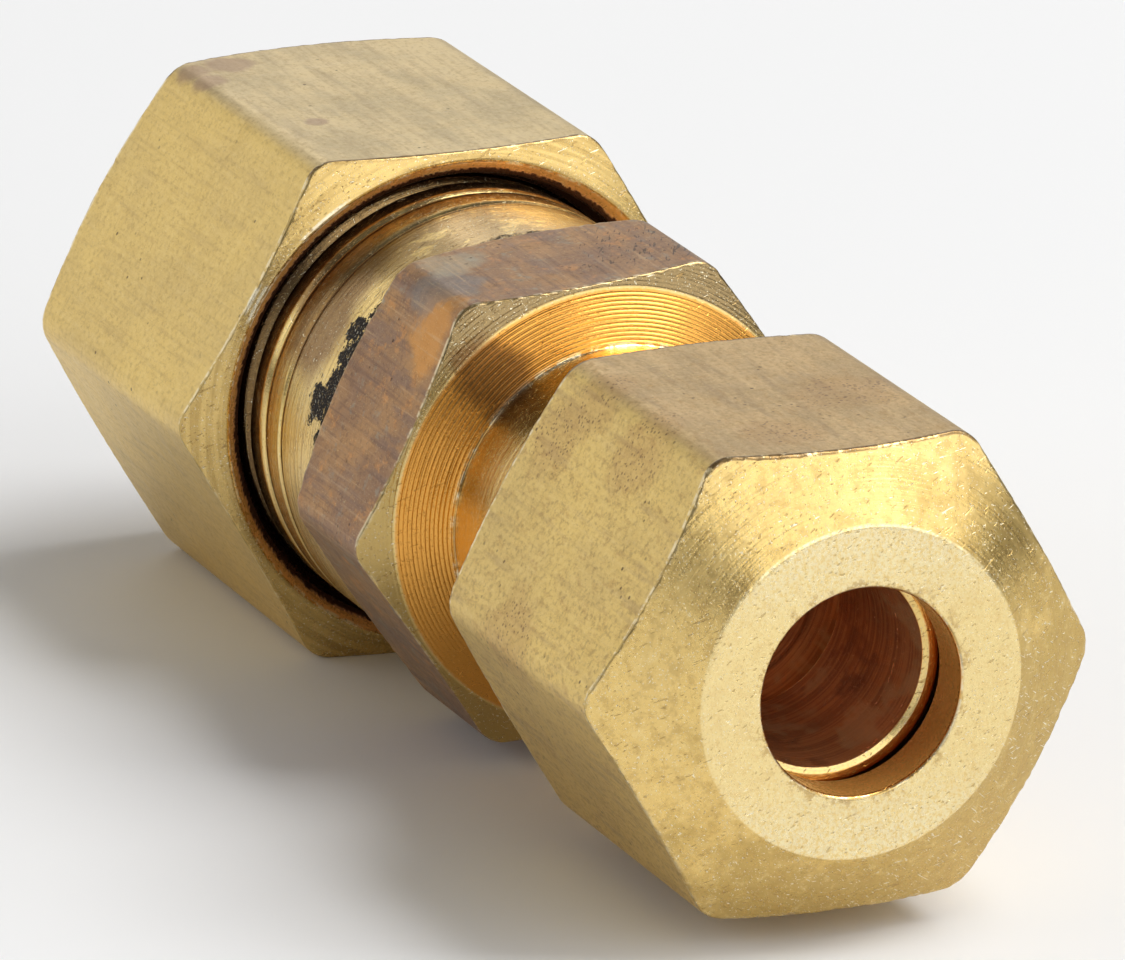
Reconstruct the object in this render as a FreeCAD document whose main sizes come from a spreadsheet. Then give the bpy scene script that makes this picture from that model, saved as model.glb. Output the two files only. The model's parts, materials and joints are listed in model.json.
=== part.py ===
"""Reducing compression union for 1/4 in and 3/16 in tube, in millimetres, +Z up.

The axis of the fitting is X.  The 1/4 in end points along -X and the 3/16 in end
along +X.  The origin is on the axis, halfway between the two nut faces.
"""
import os

import FreeCAD
import Part
import Sketcher
from FreeCAD import Placement, Rotation, Vector

os.makedirs("parts", exist_ok=True)
doc = FreeCAD.newDocument("compression_union")

LARGE = "large"
SMALL = "small"
ENDS = (LARGE, SMALL)

# Driving dimensions ---------------------------------------------------------

DRIVING = [
    # Thread form, 24 to the inch, 60 degree flanks
    ("thread_pitch", "1.058333"),
    ("flank_slope", "0.57735"),
    ("groove_root_width", "0.12"),
    ("groove_depth", "0.44"),
    ("groove_overrun", "0.2"),
    ("flank_gap", "0.06"),
    ("crest_gap", "0.06"),
    ("root_gap", "0.08"),
    ("large_crest_radius", "5.49"),
    ("small_crest_radius", "4.72"),
    # Union body, measured from the tip of its 1/4 in end
    ("body_flats", "11.11"),
    ("body_corner_round", "0.8"),
    ("body_hex_turn", "4.4"),
    ("body_hex_length", "4.55"),
    ("body_front_ring_radius", "5.42"),
    ("body_front_slope", "0.364"),
    ("body_rear_slope", "0.62"),
    ("body_shoulder_length", "0.63"),
    ("large_stub_length", "8.3"),
    ("small_stub_length", "8.4"),
    ("plain_shank_length", "1.95"),
    ("neck_length", "3.3"),
    ("neck_radius", "4.15"),
    ("tip_chamfer", "0.5"),
    ("seat_slope", "0.57735"),
    ("large_seat_radius", "4.1"),
    ("small_seat_radius", "3.35"),
    ("large_socket_radius", "3.225"),
    ("small_socket_radius", "2.43"),
    ("large_socket_depth", "6.5"),
    ("small_socket_depth", "6.0"),
    ("large_waterway_radius", "2.38"),
    ("small_waterway_radius", "1.59"),
    ("drill_point_slope", "0.6009"),
    # Nuts, measured from the threaded mouth
    ("large_nut_flats", "12.7"),
    ("small_nut_flats", "11.11"),
    ("nut_corner_round", "0.8"),
    ("large_nut_length", "11.4"),
    ("small_nut_length", "9.75"),
    ("large_nose_radius", "4.5"),
    ("small_nose_radius", "3.95"),
    ("nose_slope", "0.57735"),
    ("large_mouth_radius", "6.16"),
    ("small_mouth_radius", "5.3"),
    ("mouth_slope", "0.4"),
    ("large_relief_radius", "5.73"),
    ("small_relief_radius", "4.86"),
    ("relief_flare", "0.39"),
    ("relief_flare_depth", "0.3"),
    ("relief_depth", "0.72"),
    ("large_nut_bore_radius", "3.25"),
    ("small_nut_bore_radius", "2.49"),
    ("nose_wall", "1.2"),
    ("bore_edge_break", "0.06"),
    ("tap_clearance", "0.6"),
    ("tap_overlap", "0.04"),
    ("large_thread_lead", "4.5"),
    ("small_thread_lead", "3.5"),
    ("thread_overrun_turns", "0.8"),
    ("cutter_reach", "0.7"),
    # Sleeves, measured from the end that enters the body
    ("large_sleeve_radius", "3.97"),
    ("small_sleeve_radius", "3.2"),
    ("large_sleeve_bore_radius", "3.21"),
    ("small_sleeve_bore_radius", "2.41"),
    ("large_sleeve_length", "6.0"),
    ("small_sleeve_length", "4.8"),
    ("sleeve_end_wall", "0.22"),
    ("sleeve_taper_slope", "0.364"),
    ("sleeve_nut_chamfer", "0.6"),
    ("sleeve_bore_break", "0.1"),
    # Positions along the axis, each measured outward from the origin
    ("hex_middle", "0.525"),
    ("large_nut_mouth", "6.15"),
    ("small_nut_mouth", "7.8"),
    ("large_sleeve_end", "9.73"),
    ("small_sleeve_end", "10.9"),
    # Angle about the axis at which each thread is started, in degrees
    ("large_thread_angle", "10"),
    ("small_thread_angle", "0"),
]

# Dimensions that follow from the driving ones
DERIVED = [
    ("hex_start", "large_stub_length"),
    ("hex_end", "large_stub_length + body_hex_length"),
    ("body_length", "large_stub_length + body_hex_length + small_stub_length"),
    ("body_tip_x", "hex_middle - large_stub_length - body_hex_length / 2"),
    ("body_hex_corner", "body_flats / sqrt(3)"),
    ("body_reach", "body_flats * cutter_reach"),
    ("front_chamfer_x", "hex_end - (body_reach - body_front_ring_radius) * body_front_slope"),
    ("rear_chamfer_x", "hex_start + (body_reach - large_crest_radius) * body_rear_slope"),
    ("stub_join_x", "hex_start + 0.5"),
    ("shoulder_x", "hex_end + body_shoulder_length"),
    ("neck_end_x", "hex_end + neck_length"),
    ("thread_rise_x", "neck_end_x + small_crest_radius - neck_radius"),
    ("small_tip_x", "body_length - tip_chamfer"),
    ("large_tip_radius", "large_crest_radius - tip_chamfer"),
    ("small_tip_radius", "small_crest_radius - tip_chamfer"),
    ("large_seat_x", "(large_seat_radius - large_socket_radius) / seat_slope"),
    ("small_seat_x", "body_length - (small_seat_radius - small_socket_radius) / seat_slope"),
    ("small_stop_x", "body_length - small_socket_depth"),
    ("waterway_step_x",
     "hex_end + (large_waterway_radius - small_waterway_radius) * drill_point_slope"),
    ("large_thread_start", "0 - large_nut_mouth - body_tip_x - large_thread_lead * thread_pitch"),
    ("small_thread_start", "small_nut_mouth - body_tip_x - small_thread_lead * thread_pitch"),
    ("large_thread_turns",
     "(hex_start - plain_shank_length - large_thread_start) / thread_pitch"),
    ("small_thread_turns", "(body_length - small_thread_start) / thread_pitch + thread_overrun_turns"),
    ("groove_mouth_width",
     "groove_root_width + (groove_depth + groove_overrun) * 2 * flank_slope"),
    ("ridge_foot_width",
     "groove_root_width + (groove_depth + crest_gap) * 2 * flank_slope - 2 * flank_gap"),
    ("ridge_top_width",
     "groove_root_width + (root_gap - tap_overlap) * 2 * flank_slope - 2 * flank_gap"),
    ("tap_outer_width", "thread_pitch - ridge_foot_width"),
    ("tap_inner_width", "thread_pitch - ridge_top_width"),
    ("tap_start", "0 - thread_pitch"),
    ("large_tap_angle", "0 - large_thread_angle"),
    ("small_tap_angle", "small_thread_angle"),
    ("large_nut_x", "0 - large_nut_mouth"),
    ("small_nut_x", "small_nut_mouth"),
    ("large_sleeve_x", "0 - large_sleeve_end"),
    ("small_sleeve_x", "small_sleeve_end"),
]

# The same cells for each end of the fitting
DERIVED_PER_END = [
    ("root_radius", "END_crest_radius - groove_depth"),
    ("groove_top", "END_crest_radius + groove_overrun"),
    ("tap_radius", "END_root_radius + root_gap"),
    ("tap_low", "END_tap_radius - tap_overlap"),
    ("tap_high", "END_crest_radius + crest_gap"),
    ("hex_corner", "END_nut_flats / sqrt(3)"),
    ("reach", "END_nut_flats * cutter_reach"),
    ("nose_cone_x", "END_nut_length - (END_reach - END_nose_radius) * nose_slope"),
    ("mouth_cone_x", "(END_reach - END_mouth_radius) * mouth_slope"),
    ("relief_mouth_radius", "END_relief_radius + relief_flare"),
    ("tap_bore_x", "relief_depth + END_relief_radius - END_tap_radius"),
    ("nose_wall_x", "END_nut_length - nose_wall"),
    ("tap_end_x", "END_nose_wall_x - END_tap_radius + END_nut_bore_radius"),
    ("break_x", "END_nut_length - bore_edge_break"),
    ("break_radius", "END_nut_bore_radius + bore_edge_break"),
    ("tap_turns", "(END_tap_end_x - tap_clearance) / thread_pitch + 1"),
    ("sleeve_tip_radius", "END_sleeve_bore_radius + sleeve_end_wall"),
    ("sleeve_break_radius", "END_sleeve_bore_radius + sleeve_bore_break"),
    ("sleeve_taper_x", "(END_sleeve_radius - END_sleeve_tip_radius) / sleeve_taper_slope"),
    ("sleeve_chamfer_x", "END_sleeve_length - sleeve_nut_chamfer"),
    ("sleeve_break_x", "END_sleeve_length - sleeve_bore_break"),
    ("sleeve_face_radius", "END_sleeve_radius - sleeve_nut_chamfer"),
]

sheet = doc.addObject("Spreadsheet::Sheet", "Dimensions")


def fill_cell(row, alias, content):
    sheet.set(f"A{row}", alias)
    sheet.set(f"B{row}", content)
    sheet.setAlias(f"B{row}", alias)


row = 1
for name, number in DRIVING:
    fill_cell(row, name, number)
    row += 1
for end in ENDS:
    for name, formula in DERIVED_PER_END:
        fill_cell(row, f"{end}_{name}", "=" + formula.replace("END", end))
        row += 1
for name, formula in DERIVED:
    fill_cell(row, name, "=" + formula)
    row += 1
doc.recompute()

# Sketch and feature helpers -------------------------------------------------

HORIZONTAL_AXIS = -1
VERTICAL_AXIS = -2
START = 1
END = 2
CENTRE = 3
ORIGIN = (-1, 1)


def value(alias):
    """The number in a cell of the sheet."""
    return float(sheet.get(alias))


def cell(alias):
    """The expression that reads a cell of the sheet."""
    return f"Dimensions.{alias}"


def new_body(name):
    body = doc.addObject("PartDesign::Body", name)
    body.Label = name
    return body


def new_sketch(body, name, role):
    """A sketch lying on one of the body's origin planes."""
    sketch = body.newObject("Sketcher::SketchObject", name)
    plane = next(item for item in body.Origin.OriginFeatures if item.Role == role)
    sketch.AttachmentSupport = [(plane, "")]
    sketch.MapMode = "FlatFace"
    return sketch


def bind(sketch, kind, *where_and_alias):
    """Adds a dimension to a sketch and drives it from the sheet."""
    *where, alias = where_and_alias
    index = sketch.addConstraint(Sketcher.Constraint(kind, *where, value(alias)))
    sketch.setExpression(f"Constraints[{index}]", cell(alias))


def join_polygon(sketch, points):
    """Draws a closed polygon and joins its sides end to end."""
    count = len(points)
    for index, point in enumerate(points):
        sketch.addGeometry(Part.LineSegment(point, points[(index + 1) % count]), False)
    for index in range(count):
        after = (index + 1) % count
        sketch.addConstraint(Sketcher.Constraint("Coincident", index, END, after, START))


def half_section(body, name, corners):
    """A closed half section in the XZ plane.

    Each corner names the cells of its distance along the axis and of its radius;
    None puts the corner on the matching axis of the sketch.
    """
    sketch = new_sketch(body, name, "XZ_Plane")
    points = []
    for along, radius in corners:
        x = value(along) if along else 0
        r = value(radius) if radius else 0
        points.append(Vector(x, r, 0))
    join_polygon(sketch, points)
    for index, (along, radius) in enumerate(corners):
        if along:
            bind(sketch, "DistanceX", *ORIGIN, index, START, along)
        else:
            sketch.addConstraint(
                Sketcher.Constraint("PointOnObject", index, START, VERTICAL_AXIS))
        if radius:
            bind(sketch, "DistanceY", *ORIGIN, index, START, radius)
        else:
            sketch.addConstraint(
                Sketcher.Constraint("PointOnObject", index, START, HORIZONTAL_AXIS))
    return sketch


def checked_cut(body, feature, volume_before):
    """Recomputes a cut and stops the build when it has removed nothing."""
    doc.recompute()
    if feature.Shape.Volume > volume_before - 1e-4:
        raise RuntimeError(f"{body.Label}: {feature.Label} cuts nothing")


def revolve(body, kind, name, corners):
    """Adds or removes a turned shape about the axis of the fitting."""
    doc.recompute()
    volume_before = 0 if body.Shape.isNull() else body.Shape.Volume
    sketch = half_section(body, name + "_section", corners)
    feature = body.newObject(kind, name)
    feature.Profile = sketch
    feature.ReferenceAxis = (sketch, ["H_Axis"])
    feature.Angle = 360
    if kind == "PartDesign::Groove":
        checked_cut(body, feature, volume_before)


def turn_on(body, name, corners):
    revolve(body, "PartDesign::Revolution", name, corners)


def turn_off(body, name, corners):
    revolve(body, "PartDesign::Groove", name, corners)


def hexagonal_bar(body, corner, length, corner_round, start=None, turned=None):
    """A hexagonal bar along X with rounded corners and, unless turned, a flat on top."""
    sketch = new_sketch(body, "hexagon", "YZ_Plane")
    circumradius = value(corner)
    points = []
    for step in range(6):
        points.append(Rotation(Vector(0, 0, 1), 60 * step).multVec(Vector(circumradius, 0, 0)))
    join_polygon(sketch, points)
    circle = sketch.addGeometry(
        Part.Circle(Vector(0, 0, 0), Vector(0, 0, 1), circumradius), True)
    sketch.addConstraint(Sketcher.Constraint("Coincident", circle, CENTRE, *ORIGIN))
    sketch.addConstraint(Sketcher.Constraint("PointOnObject", 0, START, HORIZONTAL_AXIS))
    for side in range(6):
        sketch.addConstraint(Sketcher.Constraint("PointOnObject", side, START, circle))
    for side in range(1, 5):
        sketch.addConstraint(Sketcher.Constraint("Equal", 0, side))
    bind(sketch, "Radius", circle, corner)
    if start:
        sketch.setExpression("AttachmentOffset.Base.z", cell(start))
    if turned:
        sketch.setExpression("AttachmentOffset.Rotation.Angle", cell(turned))
    bar = body.newObject("PartDesign::Pad", "bar")
    bar.Profile = sketch
    bar.setExpression("Length", cell(length))
    doc.recompute()
    long_edges = []
    for index, edge in enumerate(bar.Shape.Edges, 1):
        run = edge.Vertexes[-1].Point - edge.Vertexes[0].Point
        if abs(run.x) > 0.99 * run.Length:
            long_edges.append(f"Edge{index}")
    corners = body.newObject("PartDesign::Fillet", "rounded_corners")
    corners.Base = (bar, long_edges)
    corners.setExpression("Radius", cell(corner_round))
    doc.recompute()


def thread(body, start, angle, turns, low, high, low_width, high_width):
    """Cuts a right-hand helical groove of trapezoid section about the axis."""
    doc.recompute()
    volume_before = body.Shape.Volume
    name = f"{start}_groove"
    sketch = new_sketch(body, name + "_section", "XZ_Plane")
    sketch.AttachmentOffset = Placement(Vector(0, 0, 0), Rotation(Vector(1, 0, 0), 90))
    sketch.setExpression("AttachmentOffset.Base.x", cell(start))
    sketch.setExpression("AttachmentOffset.Rotation.Angle", cell(angle))
    half_low = value(low_width) / 2
    half_high = value(high_width) / 2
    join_polygon(sketch, [
        Vector(-half_low, value(low), 0),
        Vector(half_low, value(low), 0),
        Vector(half_high, value(high), 0),
        Vector(-half_high, value(high), 0),
    ])
    sketch.addConstraint(Sketcher.Constraint("Symmetric", 0, START, 0, END, VERTICAL_AXIS))
    sketch.addConstraint(Sketcher.Constraint("Symmetric", 2, START, 2, END, VERTICAL_AXIS))
    bind(sketch, "DistanceX", 0, START, 0, END, low_width)
    bind(sketch, "DistanceX", 2, END, 2, START, high_width)
    bind(sketch, "DistanceY", *ORIGIN, 0, START, low)
    bind(sketch, "DistanceY", *ORIGIN, 2, START, high)
    groove = body.newObject("PartDesign::SubtractiveHelix", name)
    groove.Profile = sketch
    groove.ReferenceAxis = (sketch, ["H_Axis"])
    groove.Mode = "pitch-turns-angle"
    groove.Angle = 0
    groove.LeftHanded = False
    groove.Reversed = False
    groove.setExpression("Pitch", cell("thread_pitch"))
    groove.setExpression("Turns", cell(turns))
    checked_cut(body, groove, volume_before)


def place(body, along, half_turn):
    """Puts a body on the axis; a half turn about Z points it along -X."""
    turn = 180 if half_turn else 0
    body.Placement = Placement(Vector(0, 0, 0), Rotation(Vector(0, 0, 1), turn))
    body.setExpression("Placement.Base.x", cell(along))


# The five pieces ------------------------------------------------------------


def make_union_body():
    """Hexagon between a 7/16-24 stub and a 3/8-24 stub, bored for tube at both ends."""
    body = new_body("union_body")
    hexagonal_bar(body, "body_hex_corner", "body_hex_length", "body_corner_round",
                  start="hex_start", turned="body_hex_turn")
    turn_off(body, "front_chamfer", [
        ("hex_end", "body_front_ring_radius"),
        ("hex_end", "body_reach"),
        ("front_chamfer_x", "body_reach"),
    ])
    turn_off(body, "rear_chamfer", [
        ("hex_start", "large_crest_radius"),
        ("rear_chamfer_x", "body_reach"),
        ("hex_start", "body_reach"),
    ])
    turn_on(body, "stubs", [
        (None, None),
        (None, "large_tip_radius"),
        ("tip_chamfer", "large_crest_radius"),
        ("stub_join_x", "large_crest_radius"),
        ("stub_join_x", "body_front_ring_radius"),
        ("hex_end", "body_front_ring_radius"),
        ("shoulder_x", "neck_radius"),
        ("neck_end_x", "neck_radius"),
        ("thread_rise_x", "small_crest_radius"),
        ("small_tip_x", "small_crest_radius"),
        ("body_length", "small_tip_radius"),
        ("body_length", None),
    ])
    turn_off(body, "sockets_and_waterway", [
        (None, None),
        (None, "large_seat_radius"),
        ("large_seat_x", "large_socket_radius"),
        ("large_socket_depth", "large_socket_radius"),
        ("large_socket_depth", "large_waterway_radius"),
        ("hex_end", "large_waterway_radius"),
        ("waterway_step_x", "small_waterway_radius"),
        ("small_stop_x", "small_waterway_radius"),
        ("small_stop_x", "small_socket_radius"),
        ("small_seat_x", "small_socket_radius"),
        ("body_length", "small_seat_radius"),
        ("body_length", None),
    ])
    for end in ENDS:
        thread(body, f"{end}_thread_start", f"{end}_thread_angle", f"{end}_thread_turns",
               f"{end}_root_radius", f"{end}_groove_top",
               "groove_root_width", "groove_mouth_width")
    return body


def make_nut(end):
    """Compression nut with its threaded mouth at x = 0 and its nose towards +X.

    The ridge its thread leaves is narrower and lower than the groove it runs in.
    """
    body = new_body(f"{end}_nut")
    length = f"{end}_nut_length"
    hexagonal_bar(body, f"{end}_hex_corner", length, "nut_corner_round")
    turn_off(body, "nose_cone", [
        (length, f"{end}_nose_radius"),
        (length, f"{end}_reach"),
        (f"{end}_nose_cone_x", f"{end}_reach"),
    ])
    turn_off(body, "mouth_cone", [
        (None, f"{end}_mouth_radius"),
        (f"{end}_mouth_cone_x", f"{end}_reach"),
        (None, f"{end}_reach"),
    ])
    turn_off(body, "bore", [
        (None, None),
        (None, f"{end}_relief_mouth_radius"),
        ("relief_flare_depth", f"{end}_relief_radius"),
        ("relief_depth", f"{end}_relief_radius"),
        (f"{end}_tap_bore_x", f"{end}_tap_radius"),
        (f"{end}_tap_end_x", f"{end}_tap_radius"),
        (f"{end}_nose_wall_x", f"{end}_nut_bore_radius"),
        (f"{end}_break_x", f"{end}_nut_bore_radius"),
        (length, f"{end}_break_radius"),
        (length, None),
    ])
    thread(body, "tap_start", f"{end}_tap_angle", f"{end}_tap_turns",
           f"{end}_tap_low", f"{end}_tap_high", "tap_inner_width", "tap_outer_width")
    return body


def make_sleeve(end):
    """Compression sleeve with its tapered end at x = 0 and its nut end towards +X."""
    body = new_body(f"{end}_sleeve")
    turn_on(body, "ring", [
        (None, f"{end}_sleeve_break_radius"),
        (None, f"{end}_sleeve_tip_radius"),
        (f"{end}_sleeve_taper_x", f"{end}_sleeve_radius"),
        (f"{end}_sleeve_chamfer_x", f"{end}_sleeve_radius"),
        (f"{end}_sleeve_length", f"{end}_sleeve_face_radius"),
        (f"{end}_sleeve_length", f"{end}_sleeve_break_radius"),
        (f"{end}_sleeve_break_x", f"{end}_sleeve_bore_radius"),
        ("sleeve_bore_break", f"{end}_sleeve_bore_radius"),
    ])
    return body


pieces = [make_union_body()]
place(pieces[0], "body_tip_x", half_turn=False)
for end in ENDS:
    for make, kind in ((make_nut, "nut"), (make_sleeve, "sleeve")):
        piece = make(end)
        place(piece, f"{end}_{kind}_x", half_turn=end == LARGE)
        pieces.append(piece)
doc.recompute()

# Check and export -----------------------------------------------------------

for item in doc.Objects:
    if "Invalid" in item.State or "Error" in item.State:
        raise RuntimeError(f"{item.Label}: {item.State}")
for piece in pieces:
    shape = piece.Shape
    if shape.isNull() or not shape.isValid() or len(shape.Solids) != 1:
        raise RuntimeError(f"{piece.Label}: bad shape")
    shape.exportStep(f"parts/{piece.Label}.step")
    print(f"{piece.Label}: {shape.Volume:.2f} mm3")
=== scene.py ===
"""Looks for the reducing compression union: worn brass nuts, body and sleeves."""
import json
import math

import bpy
import bmesh
import numpy as np
from mathutils import Matrix, Vector


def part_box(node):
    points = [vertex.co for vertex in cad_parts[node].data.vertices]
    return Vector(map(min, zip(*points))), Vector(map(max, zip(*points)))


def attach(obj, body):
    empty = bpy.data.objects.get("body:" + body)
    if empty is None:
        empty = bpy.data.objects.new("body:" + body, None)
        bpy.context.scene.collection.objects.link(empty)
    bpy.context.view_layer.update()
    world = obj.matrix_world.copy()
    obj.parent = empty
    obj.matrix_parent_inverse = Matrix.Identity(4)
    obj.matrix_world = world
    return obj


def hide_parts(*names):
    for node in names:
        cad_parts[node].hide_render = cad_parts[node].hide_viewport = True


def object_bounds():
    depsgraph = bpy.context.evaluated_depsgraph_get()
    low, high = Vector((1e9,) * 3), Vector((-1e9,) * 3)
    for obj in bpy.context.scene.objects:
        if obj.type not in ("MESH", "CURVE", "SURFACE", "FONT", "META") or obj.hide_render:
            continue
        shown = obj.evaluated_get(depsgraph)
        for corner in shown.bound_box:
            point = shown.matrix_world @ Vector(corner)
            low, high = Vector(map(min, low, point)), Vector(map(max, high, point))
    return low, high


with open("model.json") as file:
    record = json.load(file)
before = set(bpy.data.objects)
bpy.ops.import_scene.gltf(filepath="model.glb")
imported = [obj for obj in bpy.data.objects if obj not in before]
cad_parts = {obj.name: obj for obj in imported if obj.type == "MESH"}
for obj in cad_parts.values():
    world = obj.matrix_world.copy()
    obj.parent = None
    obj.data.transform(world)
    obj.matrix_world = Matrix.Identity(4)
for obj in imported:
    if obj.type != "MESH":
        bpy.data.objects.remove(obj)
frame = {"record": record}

CAD_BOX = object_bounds()
MM = 0.001
TURN = 2 * math.pi

# Sizes, in millimetres -------------------------------------------------------

mounts = {mount["name"]: mount for mount in frame["record"]["mounts"]}


def mount_radius(name):
    return mounts[name]["dims"]["r_mm"]


def extent(node):
    """(lowest corner, highest corner) of a CAD node in millimetres."""
    low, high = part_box(node)
    return low / MM, high / MM


TAN20 = 0.364
TAN30 = math.tan(math.radians(30))

# Thread
PITCH = 25.4 / 24
GROOVE_DEPTH = 0.44
CREST_GAP = 0.06
ROOT_GAP = 0.08
THREAD_CHAMFER = 0.5

# Nuts, measured from the threaded mouth
CORNER_ROUND = 0.8
NOSE_WALL = 1.2
RELIEF_DEPTH = 0.72
FLARE_DEPTH = 0.3
FLARE = 0.39
MOUTH_SLOPE = 0.4
NOSE_SLOPE = TAN30
THREAD_FADE = 0.35

# Sleeves
SLEEVE_CLEARANCE = 0.02
SLEEVE_TIP_WALL = 0.22
SLEEVE_BEVEL = 0.6
RIM_RADIUS = 0.34
RIM_SLOPE = (0.045, 0.14)
RIM_CHAMFER = 0.12

# Body
BODY_FLATS = 11.11
BODY_TURN = 4.4
HEX_MIDDLE = 0.525
HEX_LENGTH = 4.55
HEX_REAR_SLOPE = 0.62
RING_RADIUS = 5.42
SHOULDER_DEPTH = 0.63
NECK_RADIUS = 4.15
NECK_LENGTH = 3.3
SHANK_LENGTH = 1.6
FULL_THREAD_INSIDE = 0.40
STEEP_RUNOUT, SLOW_RUNOUT = 0.5, 2.6
STEEP_SHARE = 0.8
SMALL_RUNOUT = 0.3
LARGE_SEAT, SMALL_SEAT = 4.1, 3.35
LARGE_SOCKET_DEPTH, SMALL_SOCKET_DEPTH = 6.5, 6.0
LARGE_WATERWAY, SMALL_WATERWAY = 2.38, 1.59
DRILL_POINT = 0.6009

# Fine rings that the lathe left on the body's front
RING_PITCH = 0.105
RING_DEPTH = 0.010
RING_FADE = 0.06

COLUMNS = 540
THETA = np.arange(COLUMNS) * TURN / COLUMNS


def hexagon_radius(flats, turn=0.0):
    """Distance from the axis to a round-cornered hexagon, one value a column."""
    sixth = math.radians(60)
    from_flat = np.mod(THETA - math.radians(90 + turn) + sixth / 2, sixth) - sixth / 2
    phi = np.abs(from_flat)
    half = flats / 2
    straight = (half - CORNER_ROUND) * TAN30
    reach = (half - CORNER_ROUND) / math.cos(math.radians(30))
    delta = math.radians(30) - phi
    inside = np.maximum(CORNER_ROUND ** 2 - (reach * np.sin(delta)) ** 2, 0)
    rounded = reach * np.cos(delta) + np.sqrt(inside)
    return np.where(half * np.tan(phi) <= straight, half / np.cos(phi), rounded)


def wander(seed, size, lowest=3, highest=150):
    """A seeded wander round the axis, one value a column, within +-size."""
    draw = np.random.default_rng(seed)
    waves = np.arange(lowest, highest)
    phases = draw.uniform(0, TURN, waves.size)
    strengths = waves ** -0.35 * draw.uniform(0.3, 1, waves.size)
    total = (strengths[:, None] * np.cos(waves[:, None] * THETA + phases[:, None])).sum(0)
    return size * total / np.abs(total).max()


def worn_edge(seed, size):
    """Rounding of an edge that is knocked and worn, one value a column."""
    return np.clip(size * (0.9 + wander(seed, 1.3)), 0.3 * size, 2.4 * size)


def ease(value):
    value = np.clip(value, 0, 1)
    return value * value * (3 - 2 * value)


# Skins built column by column ------------------------------------------------
#
# Every piece is a closed skin round the axis.  A column is the outline of the
# section at one angle, and all the columns of a piece have the same points.

# Marks carried by each point: 1 on turned faces and 0 on drawn flats; 1 on
# worn edges; and the kind of place, which is 0 on the open outside.
MARKS = ("turned", "edge", "inside")
LIP = 0.2
SHOULDER = 0.5
WALL = 0.6
FLARED_WALL = 0.7
BORED = 1.0
THREAD_GAP = 2.0

WEAR_REACH = 0.16
CORNER_SHARE = 0.45
ARC_STEPS = 3
EVEN_STEPS = 40
MERGE_DISTANCE = 0.002
DEGENERATE_LENGTH = 0.001


class Skin:
    """Collects rows of points, one point a column, and joins them with quads."""

    def __init__(self):
        self.points = []
        self.marks = []
        self.faces = []
        self.count = 0

    def band(self, xs, rs, marks, skew=0):
        """Joins rows of points; in one turn the band climbs skew rows."""
        rows = len(xs)
        self.points.append(
            np.stack([xs, rs * np.cos(THETA), rs * np.sin(THETA)], -1).reshape(-1, 3))
        self.marks.append(marks.reshape(-1, marks.shape[-1]))
        index = self.count + np.arange(rows * COLUMNS).reshape(rows, COLUMNS)
        self.count += rows * COLUMNS
        low, high = index[:-1], index[1:]
        quads = np.stack([low[:, :-1], low[:, 1:], high[:, 1:], high[:, :-1]], -1)
        self.faces.append(quads.reshape(-1, 4))
        last = rows - 1 - skew
        seam = np.stack([
            index[:last, -1], index[skew:skew + last, 0],
            index[skew + 1:skew + last + 1, 0], index[1:last + 1, -1]], -1)
        self.faces.append(seam)

    def piece(self, name, material):
        """The finished mesh object, in metres."""
        mesh = bpy.data.meshes.new(name)
        points = np.concatenate(self.points) * MM
        mesh.from_pydata(points.tolist(), [], np.concatenate(self.faces).tolist())
        marks = np.concatenate(self.marks)
        for column, mark in enumerate(MARKS):
            layer = mesh.attributes.new(mark, "FLOAT", "POINT")
            layer.data.foreach_set("value", np.ascontiguousarray(marks[:, column], np.float32))
        work = bmesh.new()
        work.from_mesh(mesh)
        bmesh.ops.remove_doubles(work, verts=work.verts, dist=MERGE_DISTANCE * MM)
        bmesh.ops.dissolve_degenerate(work, edges=work.edges, dist=DEGENERATE_LENGTH * MM)
        bmesh.ops.recalc_face_normals(work, faces=work.faces)
        for face in work.faces:
            face.smooth = True
        work.to_mesh(mesh)
        work.free()
        mesh.materials.append(material)
        piece = bpy.data.objects.new(name, mesh)
        bpy.context.scene.collection.objects.link(piece)
        return piece


def full(value):
    return np.broadcast_to(np.asarray(value, float), (COLUMNS,))


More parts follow.
